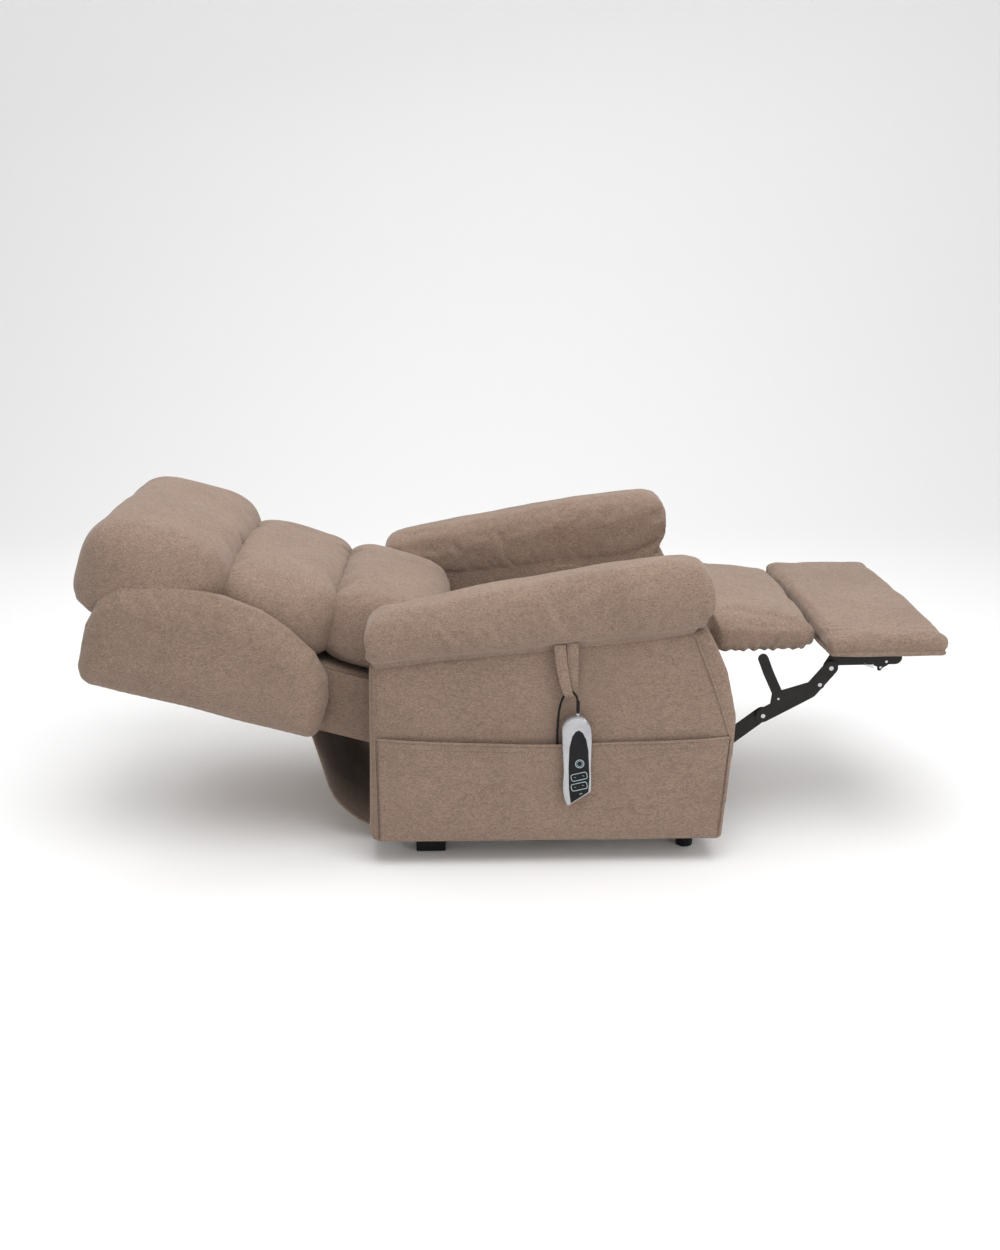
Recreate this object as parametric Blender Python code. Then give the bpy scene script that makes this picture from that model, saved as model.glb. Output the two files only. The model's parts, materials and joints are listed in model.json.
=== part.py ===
"""Powered lift recliner chair, fully reclined with the footrest out.

Metres, +Z up. The chair faces +X, the occupant's right arm is at -Y, and the origin is on the
floor under the middle of the chair.
"""

from math import cos, pi, radians, sin

import bmesh
import bpy
from mathutils import Matrix, Vector

# Driving dimensions -------------------------------------------------------------------------
GAP = 0.0003
SIDES = (("right", -1), ("left", 1))

PANEL_OUTER = 0.366
PANEL_INNER = 0.262
PANEL_BOTTOM = 0.055
ROLL_OUTER = 0.398
POCKET_DEPTH = 0.0084
POCKET_WALL = 0.0012

RECLINE_ANGLE = radians(15.73)
BACK_ORIGIN = Vector((-0.897, 0.403))
BACK_LENGTH = 0.70
BACK_HALF_WIDTH = 0.238
SHELL_THICKNESS = 0.15
RECLINE_HINGE = Vector((-0.14, 0.40))

RAIL_Z = (0.330, 0.352)
RAIL_Y = (0.215, 0.238)
SEAT_HALF_WIDTH = 0.252
SEAT_X = (-0.026, 0.420)

# Planes of flat steel beside the rails, as distances from the middle of the chair.
BASE_PLANE = (0.2255, 0.2315)
ARM_PLANE = (0.2165, 0.2225)
INNER_LINK_PLANE = (0.2425, 0.2485)
OUTER_LINK_PLANE = (0.2505, 0.2565)

LIFT_PIVOT = Vector((-0.16, 0.10))
CARRIAGE_PIVOT = Vector((0.24, 0.10))
LIFT_CRANK = Vector((0.00, 0.20))
LIFT_MOTOR_FOOT = Vector((0.157, 0.066))
LIFT_MOTOR_Y = -0.08

REAR_LINK_PIVOT = Vector((0.36, 0.341))
REAR_LINK_CRANK = Vector((0.3873, 0.2448))
REAR_LINK_BEND = Vector((0.478, 0.244))
KNEE_PIVOT = Vector((0.548, 0.300))
BOARD_PIVOT = Vector((0.690, 0.410))
CALF_PIVOT = Vector((0.425, 0.440))
FOOTREST_MOTOR_Y = 0.10

CALF_PAD_OUTLINE = (
    (0.4320, 0.4360),
    (0.5500, 0.4370),
    (0.6400, 0.4440),
    (0.6600, 0.4560),
    (0.6600, 0.4840),
    (0.6440, 0.4990),
    (0.5500, 0.5160),
    (0.4320, 0.5260),
)
CALF_PAD_HALF_WIDTH = 0.236
BOARD_X = (0.6680, 0.9285)
BOARD_Z = (0.4475, 0.496)
BOARD_HALF_WIDTH = 0.305

PIN_RADIUS = 0.006
TUBE_RADIUS = 0.012

STAY_POINTS = ((0.573, 0.312), (0.577, 0.352), (0.554, 0.400), (0.541, 0.432))
BRACE_POINTS = ((0.579, 0.344), (0.668, 0.372))
HANDSET_TOP = 0.358
HANDSET_Y = (-0.3965, -0.3765)
HANDSET_SIDES = (
    (0.1600, 0.1860),
    (0.1600, 0.2150),
    (0.1585, 0.2500),
    (0.1590, 0.3000),
    (0.1570, 0.3300),
    (0.1480, 0.3490),
    (0.1360, HANDSET_TOP),
    (0.1200, HANDSET_TOP),
    (0.1060, 0.3510),
    (0.0965, 0.3380),
    (0.0955, 0.3150),
    (0.0985, 0.2600),
    (0.1000, 0.2300),
    (0.0985, 0.2000),
    (0.1020, 0.1710),
    (0.1100, 0.1520),
)
FACE_OUTLINE = (
    (0.1165, 0.1605),
    (0.1535, 0.1870),
    (0.1550, 0.2190),
    (0.1515, 0.2830),
    (0.1465, 0.3070),
    (0.1390, 0.3220),
    (0.1310, 0.3280),
    (0.1240, 0.3250),
    (0.1170, 0.3140),
    (0.1115, 0.2880),
    (0.1104, 0.2450),
    (0.1120, 0.1950),
)
KEY_TILT = radians(13)
STRAP_OUTER = (
    (0.0775, 0.5020),
    (0.1000, 0.4050),
    (0.1060, 0.3980),
    (0.1215, 0.3980),
    (0.1275, 0.4050),
    (0.1300, 0.5070),
)
STRAP_INNER = (
    (0.0900, 0.4970),
    (0.1045, 0.4095),
    (0.1085, 0.4040),
    (0.1185, 0.4040),
    (0.1225, 0.4095),
    (0.1170, 0.5000),
)
KEYS = (
    # name, centre, half length, half height
    ("button_power", (0.1335, 0.2530), 0.0098, 0.0097),
    ("rocker_back", (0.1330, 0.2235), 0.0180, 0.0088),
    ("rocker_lift", (0.1335, 0.2010), 0.0180, 0.0088),
)
CORD_RADIUS = 0.0024

# Points that the handset's cord passes: out of the pocket, up through the strap, down again.
CORD_ROUTE = (
    (0.0875, -0.3705, 0.2700),
    (0.0875, -0.3705, 0.2850),
    (0.0875, -0.3728, 0.3050),
    (0.0880, -0.3748, 0.3360),
    (0.0905, -0.3750, 0.3660),
    (0.0958, -0.3750, 0.3880),
    (0.1035, -0.3752, 0.4030),
    (0.1105, -0.3778, 0.4090),
    (0.1150, -0.3840, 0.4105),
    (0.1195, -0.3905, 0.4092),
    (0.1245, -0.3930, 0.4020),
    (0.1280, -0.3910, 0.3890),
    (0.1285, -0.3875, 0.3750),
    (0.1285, -0.3865, 0.3645),
)


# Helpers --------------------------------------------------------------------------------------
def clear_scene():
    for obj in list(bpy.data.objects):
        bpy.data.objects.remove(obj, do_unlink=True)


def material(name, colour, roughness, metallic=0.0):
    made = bpy.data.materials.new(name)
    made.use_nodes = True
    shader = made.node_tree.nodes["Principled BSDF"]
    shader.inputs["Base Color"].default_value = (*colour, 1.0)
    shader.inputs["Roughness"].default_value = roughness
    shader.inputs["Metallic"].default_value = metallic
    return made


def pivot(name, x, z):
    """An empty on a joint's axis, which runs along Y."""
    empty = bpy.data.objects.new(name, None)
    empty.location = (x, 0.0, z)
    bpy.context.scene.collection.objects.link(empty)
    return empty


def finish(name, bm, finish_material, parent=None, bevel=0.0, segments=2, smooth=True):
    """Turns a bmesh in world coordinates into a named object that hangs on its parent."""
    bmesh.ops.recalc_face_normals(bm, faces=bm.faces)
    if bevel:
        sharp = [edge for edge in bm.edges if edge.calc_face_angle(0.0) > radians(35)]
        bmesh.ops.bevel(bm, geom=sharp, offset=bevel, segments=segments, profile=0.5, affect="EDGES")
    mesh = bpy.data.meshes.new(name)
    bm.to_mesh(mesh)
    bm.free()
    mesh.materials.append(finish_material)
    if smooth:
        mesh.shade_smooth()
        mesh.set_sharp_from_angle(angle=radians(40))
    obj = bpy.data.objects.new(name, mesh)
    bpy.context.scene.collection.objects.link(obj)
    if parent:
        mesh.transform(Matrix.Translation(-parent.location))
        obj.parent = parent
    return obj


def extruded(name, outline, y_range, finish_material, parent=None, bevel=0.0, segments=2):
    """A closed outline in the XZ plane, given thickness along Y."""
    bm = bmesh.new()
    face = bm.faces.new([bm.verts.new((x, y_range[0], z)) for x, z in outline])
    grown = bmesh.ops.extrude_face_region(bm, geom=[face])
    moved = [item for item in grown["geom"] if isinstance(item, bmesh.types.BMVert)]
    bmesh.ops.translate(bm, verts=moved, vec=(0.0, y_range[1] - y_range[0], 0.0))
    return finish(name, bm, finish_material, parent, bevel, segments)


def box(name, x_range, y_range, z_range, finish_material, parent=None, bevel=0.0, segments=2):
    outline = (
        (x_range[0], z_range[0]),
        (x_range[1], z_range[0]),
        (x_range[1], z_range[1]),
        (x_range[0], z_range[1]),
    )
    return extruded(name, outline, y_range, finish_material, parent, bevel, segments)


def cylinder(name, start, end, radius, finish_material, parent=None, sides=20, bevel=0.0):
    """A round bar from one point to another."""
    start, end = Vector(start), Vector(end)
    along = end - start
    turn = along.to_track_quat("Z", "Y").to_matrix().to_4x4()
    place = Matrix.Translation((start + end) / 2) @ turn
    bm = bmesh.new()
    bmesh.ops.create_cone(
        bm, cap_ends=True, segments=sides, radius1=radius, radius2=radius, depth=along.length, matrix=place
    )
    return finish(name, bm, finish_material, parent, bevel)


def side_range(side, plane):
    """A range of distances from the middle as a range of Y on one side."""
    low, high = sorted((side * plane[0], side * plane[1]))
    return (low, high)


def cross_bar(name, point, half_width, radius, finish_material, parent=None, sides=16):
    """A round bar that runs across the chair at a point in the XZ plane."""
    start = (point[0], -half_width, point[1])
    end = (point[0], half_width, point[1])
    return cylinder(name, start, end, radius, finish_material, parent, sides)


def stadium(start, end, radius, steps=8):
    """The outline round two points: half a circle about each, joined by straight sides."""
    start, end = Vector(start), Vector(end)
    along = (end - start).normalized()
    across = Vector((-along.y, along.x))
    outline = []
    for centre, facing in ((end, 1), (start, -1)):
        for step in range(steps + 1):
            angle = pi * step / steps
            outline.append(centre + radius * facing * (along * sin(angle) - across * cos(angle)))
    return outline


def drill(obj, point, radius, half_width=0.30):
    """Cuts a round hole along Y through an object."""
    bm = bmesh.new()
    place = Matrix.Translation((point[0], 0.0, point[1])) @ Matrix.Rotation(radians(90), 4, "X")
    bmesh.ops.create_cone(
        bm, cap_ends=True, segments=20, radius1=radius, radius2=radius, depth=2 * half_width, matrix=place
    )
    cut_away(obj, finish("cut_" + obj.name, bm, STEEL))


def join(obj, other):
    """Joins a second shape, which overlaps the first, into one body."""
    other.hide_render = True
    other.display_type = "WIRE"
    union = obj.modifiers.new("join", "BOOLEAN")
    union.operation = "UNION"
    union.object = other


def stud(name, point, side, y_range):
    """A round pin along Y that stands on a plate or a rail."""
    ends = [(point[0], side * y, point[1]) for y in y_range]
    return cylinder(name, *ends, PIN_RADIUS, CHROME, sides=16)


def cut_away(obj, cutter, label="cut"):
    """Removes a hidden shape from an object."""
    cutter.hide_render = True
    cutter.display_type = "WIRE"
    cut = obj.modifiers.new(label, "BOOLEAN")
    cut.operation = "DIFFERENCE"
    cut.object = cutter


def link_plate(name, points, radius, y_range, parent, holes=()):
    """A flat steel link with round ends through its points, drilled for its pins."""
    plate = extruded(name, stadium(points[0], points[1], radius), y_range, STEEL, parent)
    for number in range(1, len(points) - 1):
        outline = stadium(points[number], points[number + 1], radius)
        leg = extruded(f"{name}_leg{number}", outline, y_range, STEEL)
        join(plate, leg)
    for hole in holes:
        drill(plate, hole, PIN_RADIUS + GAP)
    return plate


def back_point(u, v):
    """A point of the backrest as XZ: u runs from the head to the seat, v towards the occupant."""
    along = Vector((cos(RECLINE_ANGLE), -sin(RECLINE_ANGLE)))
    outward = Vector((sin(RECLINE_ANGLE), cos(RECLINE_ANGLE)))
    return BACK_ORIGIN + along * u + outward * v


def catmull_rom(before, start, end, after, t):
    pull = 2 * before - 5 * start + 4 * end - after
    twist = -before + 3 * start - 3 * end + after
    return 0.5 * (2 * start + (end - before) * t + pull * t * t + twist * t * t * t)


def smooth_line(points, spans):
    """The given points with a smooth curve between them, each gap in this many steps."""
    line = []
    for i in range(len(points) - 1):
        before, after = points[max(i - 1, 0)], points[min(i + 2, len(points) - 1)]
        line += [catmull_rom(before, points[i], points[i + 1], after, step / spans) for step in range(spans)]
    return line + [points[-1]]


# Base, which stays on the floor -----------------------------------------------------------------
def weld_base_brackets(cross):
    """Two upright plates on the rear cross tube, drilled for the lift arms' shaft."""
    for name, side in SIDES:
        points = ((LIFT_PIVOT.x, 0.042), LIFT_PIVOT)
        plane = side_range(side, BASE_PLANE)
        join(cross, link_plate(f"bracket_base_{name}", points, 0.0135, plane, None, (LIFT_PIVOT,)))


def build_base():
    for name, side in SIDES:
        rail_y = side_range(side, (0.250, 0.280))
        box(f"base_rail_{name}", (-0.235, 0.425), rail_y, (0.026, 0.048), STEEL, bevel=0.003)
        foot_y = side * 0.275
        foot_front = ((0.384, foot_y, 0.0), (0.384, foot_y, 0.0257))
        cylinder(f"foot_front_{name}", *foot_front, 0.019, PLASTIC, bevel=0.003)
        foot_rear_y = side_range(side, (0.250, 0.300))
        box(f"foot_rear_{name}", (-0.217, -0.152), foot_rear_y, (0.0, 0.0257), PLASTIC, bevel=0.003)
    for name, x in (("rear", LIFT_PIVOT.x), ("middle", LIFT_MOTOR_FOOT.x), ("front", 0.40)):
        cross_x, cross_y = (x - 0.015, x + 0.015), (-0.2497, 0.2497)
        cross = box(f"base_cross_{name}", cross_x, cross_y, (0.026, 0.048), STEEL, bevel=0.003)
        if name == "rear":
            weld_base_brackets(cross)
    cross_bar("lift_pivot_shaft", LIFT_PIVOT, 0.236, PIN_RADIUS, CHROME)


# Lift arms, which raise the chair -----------------------------------------------------------------
def build_lift_arms(parent):
    for name, side in SIDES:
        points = (LIFT_CRANK, LIFT_PIVOT, CARRIAGE_PIVOT)
        plane = side_range(side, ARM_PLANE)
        link_plate(f"lift_arm_{name}", points, 0.018, plane, parent, (LIFT_PIVOT, CARRIAGE_PIVOT))
    cross_bar("lift_crank_tube", LIFT_CRANK, ARM_PLANE[0] - GAP, TUBE_RADIUS, STEEL, parent)


def build_lift_motor():
    """The motor stands on the base's middle cross tube; its rod pushes the lift arms' crank tube."""
    foot = Vector((LIFT_MOTOR_FOOT.x, LIFT_MOTOR_Y, LIFT_MOTOR_FOOT.y))
    crank = Vector((LIFT_CRANK.x, LIFT_MOTOR_Y, LIFT_CRANK.y))
    along = (crank - foot).normalized()
    barrel_end = foot + along * 0.150
    rod_start = foot + along * 0.020
    rod_end = crank - along * (TUBE_RADIUS + 0.012)
    barrel = cylinder("lift_motor", foot, barrel_end, 0.019, PLASTIC, sides=24)
    housing_z = (0.0483, 0.098)
    housing = box("lift_motor_housing", (0.108, 0.166), (-0.150, -0.085), housing_z, PLASTIC, bevel=0.006)
    join(barrel, housing)
    bore_ends = (rod_start - along * GAP, barrel_end + along * 0.02)
    bore = cylinder("cut_lift_motor", *bore_ends, 0.0088, STEEL, sides=24)
    cut_away(barrel, bore)
    cylinder("lift_rod", rod_start, rod_end, 0.008, CHROME, sides=16)


# Carriage: seat, arms and what is fixed to them ---------------------------------------------------
PANEL_FRONT = (
    (0.4495, PANEL_BOTTOM),
    (0.4660, 0.2700),
    (0.4680, 0.3380),
    (0.4550, 0.3920),
    (0.4430, 0.4400),
    (0.4150, 0.5000),
    (0.3960, 0.5355),
)
PANEL_REAR = (
    (-0.3040, 0.4615),
    (-0.3160, 0.0800),
    (-0.3100, 0.0620),
    (-0.2960, PANEL_BOTTOM),
)
ROLL_TOP = (
    (0.3840, 0.5400),
    (0.3980, 0.5620),
    (0.4020, 0.6080),
    (0.3980, 0.6480),
    (0.3780, 0.6720),
    (0.3420, 0.6790),
    (0.1800, 0.6580),
    (0.0000, 0.6260),
    (-0.1500, 0.5960),
    (-0.2750, 0.5740),
    (-0.2990, 0.5600),
    (-0.3080, 0.5250),
    (-0.3060, 0.4800),
    (-0.3000, 0.4645),
)


def build_arm(name, side, parent):
    panel = (*PANEL_FRONT, *PANEL_REAR)
    extruded(
        f"side_panel_{name}", panel, side_range(side, (PANEL_INNER, PANEL_OUTER)), FABRIC, parent, bevel=0.006
    )
    roll_y = side_range(side, (PANEL_INNER, ROLL_OUTER))
    extruded(f"arm_pad_{name}", ROLL_TOP, roll_y, FABRIC, parent, bevel=0.022, segments=3)


def build_pocket(name, side, parent):
    """A cloth pocket on the outside of the arm: open at the top, closed at both ends and below."""
    inner = PANEL_OUTER + GAP
    outer = inner + POCKET_DEPTH
    outline = ((-0.290, 0.062), (0.434, 0.062), (0.452, 0.283), (0.452, 0.297), (0.090, 0.286), (-0.290, 0.300))
    pocket = extruded(f"pocket_{name}", outline, side_range(side, (inner, outer)), FABRIC, parent)
    hollow = ((-0.284, 0.068), (0.428, 0.068), (0.446, 0.283), (0.446, 0.330), (-0.284, 0.330))
    hollow_y = side_range(side, (inner + POCKET_WALL, outer - POCKET_WALL))
    cutter = extruded(f"cut_pocket_{name}", hollow, hollow_y, FABRIC)
    cut_away(pocket, cutter)


def build_seat(parent):
    for name, side in SIDES:
        rail_y = side_range(side, RAIL_Y)
        rail = box(f"seat_rail_{name}", (-0.130, 0.400), rail_y, RAIL_Z, STEEL, parent, bevel=0.002)
        drop = ((CARRIAGE_PIVOT.x, RAIL_Z[0] + 0.002), CARRIAGE_PIVOT)
        plane = side_range(side, BASE_PLANE)
        join(rail, link_plate(f"drop_{name}", drop, 0.018, plane, parent, (CARRIAGE_PIVOT,)))
        join(rail, stud(f"footrest_stud_{name}", REAR_LINK_PIVOT, side, (0.230, 0.2525)))
        ear_y = side_range(side, OUTER_LINK_PLANE)
        ear = link_plate(f"hinge_ear_{name}", ((-0.108, 0.3468), RECLINE_HINGE), 0.0165, ear_y, parent)
        join(ear, stud(f"recline_stud_{name}", RECLINE_HINGE, side, (0.2400, 0.2540)))
    cross_bar("carriage_shaft", CARRIAGE_PIVOT, 0.236, PIN_RADIUS, CHROME, parent)
    cross_z = (RAIL_Z[0] - 0.0243, RAIL_Z[0] - GAP)
    for name, x in (("front", 0.165), ("rear", -0.110)):
        reach = PANEL_INNER - GAP
        box(f"seat_cross_{name}", (x - 0.014, x + 0.014), (-reach, reach), cross_z, STEEL, parent, bevel=0.002)
    deck_z = (RAIL_Z[1] + GAP, RAIL_Z[1] + 0.0125)
    box("seat_deck", (-0.020, 0.402), (-0.236, 0.236), deck_z, WOOD, parent, bevel=0.002)
    cushion_z = (deck_z[1] + GAP, 0.486)
    seat_y = (-SEAT_HALF_WIDTH, SEAT_HALF_WIDTH)
    box("seat_cushion", SEAT_X, seat_y, cushion_z, FABRIC, parent, bevel=0.028, segments=3)
    box("control_box", (-0.08, 0.03), (-0.19, -0.11), (0.300, 0.3285), PLASTIC, parent, bevel=0.004)


def build_footrest_motor(carriage):
    """The motor hangs under the seat; its rod pushes the rear links' crank tube."""
    z = REAR_LINK_CRANK.y
    start = (-0.085, FOOTREST_MOTOR_Y, z)
    end = (0.270, FOOTREST_MOTOR_Y, z)
    barrel = cylinder("footrest_motor", start, end, 0.017, PLASTIC, carriage, sides=24)
    housing_x, housing_y, housing_z = (-0.135, -0.070), (0.085, 0.175), (z - 0.028, z + 0.032)
    housing = box("footrest_motor_housing", housing_x, housing_y, housing_z, PLASTIC, bevel=0.006)
    join(barrel, housing)
    rod_start = (0.120, FOOTREST_MOTOR_Y, z)
    bore_ends = ((0.060, FOOTREST_MOTOR_Y, z), (0.300, FOOTREST_MOTOR_Y, z))
    bore = cylinder("cut_footrest_motor", *bore_ends, 0.0088, STEEL, sides=24)
    cut_away(barrel, bore)
    rod_end = (REAR_LINK_CRANK.x - TUBE_RADIUS - 0.005, FOOTREST_MOTOR_Y, z)
    cylinder("footrest_rod", rod_start, rod_end, 0.008, CHROME, sides=16)


# Backrest -------------------------------------------------------------------------------------------
WING_OUTLINE = (
    (-0.002, 0.000),
    (-0.022, 0.008),
    (-0.033, 0.034),
    (-0.035, 0.128),
    (-0.018, 0.188),
    (0.018, 0.228),
    (0.071, 0.247),
    (0.153, 0.258),
    (0.228, 0.262),
    (0.310, 0.250),
    (0.378, 0.224),
    (0.440, 0.189),
    (0.478, 0.142),
    (0.491, 0.092),
    (0.489, 0.020),
    (0.476, 0.000),
)
BOLSTERS = (
    # name, from and to along the back, height of the crest
    ("head", -0.0789, 0.207, 0.353),
    ("middle", 0.211, 0.448, 0.314),
    ("lumbar", 0.452, 0.694, 0.322),
)


def bolster_outline(start, end, base, crest, steps=18):
    """A cushion's section: flat below, a rounded crown above, in back coordinates."""
    middle = (start + end) / 2
    reach = (end - start) / 2
    outline = []
    for step in range(steps + 1):
        angle = pi * step / steps
        across = abs(cos(angle)) ** 0.55 * (1 if cos(angle) >= 0 else -1)
        rise = max(sin(angle), 0.0) ** 0.75
        outline.append(back_point(middle + reach * across, base + (crest - base) * rise))
    return outline


def build_backrest(parent):
    corners = ((0.0, 0.0), (BACK_LENGTH, 0.0), (BACK_LENGTH, SHELL_THICKNESS), (0.0, SHELL_THICKNESS))
    shell = [back_point(u, v) for u, v in corners]
    half = BACK_HALF_WIDTH
    extruded("back_shell", shell, (-half, half), FABRIC, parent, bevel=0.012)
    for name, start, end, crest in BOLSTERS:
        outline = bolster_outline(start, end, SHELL_THICKNESS + 0.001, crest)
        extruded(f"bolster_{name}", outline, (-half, half), FABRIC, parent, bevel=0.012)
    wing = [back_point(u, v) for u, v in WING_OUTLINE]
    for name, side in SIDES:
        extruded(f"wing_{name}", wing, side_range(side, (0.252, 0.322)), FABRIC, parent, bevel=0.012)
        points = (back_point(0.56, 0.075), back_point(0.665, 0.085), RECLINE_HINGE)
        plane = side_range(side, INNER_LINK_PLANE)
        link_plate(f"back_bracket_{name}", points, 0.0165, plane, parent, (RECLINE_HINGE,))


def build_skirt(parent):
    """A cloth that hangs from the back's underside down to the chair's rear."""
    inner = ((-0.444, 0.262), (-0.425, 0.190), (-0.398, 0.110), (-0.350, 0.055), (-0.305, 0.030))
    spine = [Vector(point) for point in inner]
    thickness = 0.004
    lower = []
    for i, point in enumerate(spine):
        along = (spine[min(i + 1, len(spine) - 1)] - spine[max(i - 1, 0)]).normalized()
        lower.append(point + Vector((along.y, -along.x)) * thickness)
    extruded("rear_skirt", spine + lower[::-1], (-0.245, 0.245), FABRIC, parent)


# Footrest --------------------------------------------------------------------------------------------
def build_footrest(rear, front, board, calf):
    for name, side in SIDES:
        inner = side_range(side, INNER_LINK_PLANE)
        outer = side_range(side, OUTER_LINK_PLANE)
        rear_points = (REAR_LINK_PIVOT, REAR_LINK_CRANK, REAR_LINK_BEND, KNEE_PIVOT)
        link_plate(f"rear_link_{name}", rear_points, 0.016, inner, rear, (REAR_LINK_PIVOT, KNEE_PIVOT))
        bend = Vector((0.648, 0.356))
        front_link = link_plate(f"front_link_{name}", (KNEE_PIVOT, bend, BOARD_PIVOT), 0.0155, outer, front)
        for place, points in (("stay", STAY_POINTS), ("brace", BRACE_POINTS)):
            join(front_link, link_plate(f"{place}_{name}", points, 0.0110, outer, None))
        for place, point in (("knee", KNEE_PIVOT), ("board", BOARD_PIVOT)):
            join(front_link, stud(f"{place}_stud_{name}", point, side, (0.2400, 0.2540)))
        board_points = (BOARD_PIVOT, (0.700, 0.428), (0.832, 0.4295))
        bracket = link_plate(f"board_bracket_{name}", board_points, 0.0145, inner, board)
        drill(bracket, BOARD_PIVOT, PIN_RADIUS + GAP)
    reach = INNER_LINK_PLANE[0] - GAP
    cross_bar("footrest_crank_tube", REAR_LINK_CRANK, reach, TUBE_RADIUS, STEEL, rear)
    board_y = (-BOARD_HALF_WIDTH, BOARD_HALF_WIDTH)
    box("footboard", BOARD_X, board_y, BOARD_Z, FABRIC, board, bevel=0.014, segments=3)
    calf_y = (-CALF_PAD_HALF_WIDTH, CALF_PAD_HALF_WIDTH)
    extruded("calf_pad", CALF_PAD_OUTLINE, calf_y, FABRIC, calf, bevel=0.012)


# Handset, on its strap and cord -------------------------------------------------------------------------
def tilted(centre, half_length, half_height):
    """The outline of a key: a stadium that rises a little to the right."""
    reach = Vector((cos(KEY_TILT), sin(KEY_TILT))) * (half_length - half_height)
    return stadium(Vector(centre) - reach, Vector(centre) + reach, half_height)


def build_handset(carriage):
    low, high = HANDSET_Y
    sides = [Vector(point) for point in HANDSET_SIDES]
    body = smooth_line(sides, 2)
    shell = extruded("handset_shell", body, (low + 0.002, high), SILVER, carriage, bevel=0.0045)
    window = [Vector(point) for point in FACE_OUTLINE]
    recess = extruded("cut_handset_face", window, (low - 0.02, low + 0.0045), SILVER)
    cut_away(shell, recess)
    middle = sum(window, Vector((0.0, 0.0))) / len(window)
    inset = [middle + (point - middle) * (1 - 0.0005 / (point - middle).length) for point in window]
    face = extruded("handset_face", inset, (low + 0.0015, low + 0.0042), PLASTIC, carriage)
    for name, centre, half_length, half_height in KEYS:
        hole = tilted(centre, half_length + GAP, half_height + GAP)
        cutter = extruded(f"cut_{name}", hole, (low - 0.01, low + 0.01), PLASTIC)
        cut_away(face, cutter, name)
        seat = pivot(f"pivot_{name}", *centre)
        seat.location.y = low + 0.004
        extruded(name, tilted(centre, half_length, half_height), (low, low + 0.0034), PLASTIC, seat)
    cylinder(
        "cord_gland",
        (CORD_ROUTE[-1][0], -0.3865, HANDSET_TOP + 0.0016),
        (CORD_ROUTE[-1][0], -0.3865, CORD_ROUTE[-1][2] - 3 * GAP),
        0.0042,
        SILVER,
        carriage,
        sides=16,
    )


def build_strap(carriage):
    """A flat loop of the cover's cloth, sewn under the arm roll, that the cord passes through."""
    strap = extruded("handset_strap", STRAP_OUTER, (-0.3880, -0.3795), FABRIC, carriage)
    cutter = extruded("cut_handset_strap", STRAP_INNER, (-0.41, -0.36), FABRIC)
    cut_away(strap, cutter)


def build_cord(carriage):
    """A smooth line through the route's points, with a round section."""
    line = smooth_line([Vector(point) for point in CORD_ROUTE], 5)
    curve = bpy.data.curves.new("handset_cord", "CURVE")
    curve.dimensions = "3D"
    curve.bevel_depth = CORD_RADIUS
    curve.bevel_resolution = 2
    curve.use_fill_caps = True
    spline = curve.splines.new("POLY")
    spline.points.add(len(line) - 1)
    for target, point in zip(spline.points, line):
        target.co = (*(point - carriage.location), 1.0)
    curve.materials.append(RUBBER)
    cord = bpy.data.objects.new("handset_cord", curve)
    bpy.context.scene.collection.objects.link(cord)
    cord.parent = carriage


clear_scene()
FABRIC = material("chenille", (0.25, 0.19, 0.15), 0.9)
STEEL = material("black_steel", (0.02, 0.02, 0.022), 0.4, 0.8)
CHROME = material("bright_steel", (0.6, 0.6, 0.6), 0.25, 1.0)
PLASTIC = material("black_plastic", (0.02, 0.02, 0.02), 0.45)
SILVER = material("silver_plastic", (0.55, 0.55, 0.57), 0.35, 0.3)
RUBBER = material("cord_rubber", (0.015, 0.015, 0.015), 0.5)
WOOD = material("plywood", (0.45, 0.30, 0.16), 0.7)

LIFT = pivot("pivot_lift", *LIFT_PIVOT)
CARRIAGE = pivot("pivot_carriage", *CARRIAGE_PIVOT)
RECLINE = pivot("pivot_recline", *RECLINE_HINGE)
REAR_LINKS = pivot("pivot_rear_links", *REAR_LINK_PIVOT)
FRONT_LINKS = pivot("pivot_front_links", *KNEE_PIVOT)
BOARD = pivot("pivot_footboard", *BOARD_PIVOT)
CALF = pivot("pivot_calf_pad", *CALF_PIVOT)

build_base()
build_lift_arms(LIFT)
build_lift_motor()
for side_name, side_sign in SIDES:
    build_arm(side_name, side_sign, CARRIAGE)
    build_pocket(side_name, side_sign, CARRIAGE)
build_seat(CARRIAGE)
build_footrest_motor(CARRIAGE)
build_backrest(RECLINE)
build_skirt(RECLINE)
build_footrest(REAR_LINKS, FRONT_LINKS, BOARD, CALF)
build_handset(CARRIAGE)
build_strap(CARRIAGE)
build_cord(CARRIAGE)
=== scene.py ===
"""Looks of the lift recliner chair: upholstery, seams, handset, linkage hardware, light and camera."""

import json
from math import cos, pi, radians, sin

import bmesh
import bpy
import numpy as np
from mathutils import Matrix, Vector, noise
from mathutils.bvhtree import BVHTree
from mathutils.kdtree import KDTree


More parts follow.
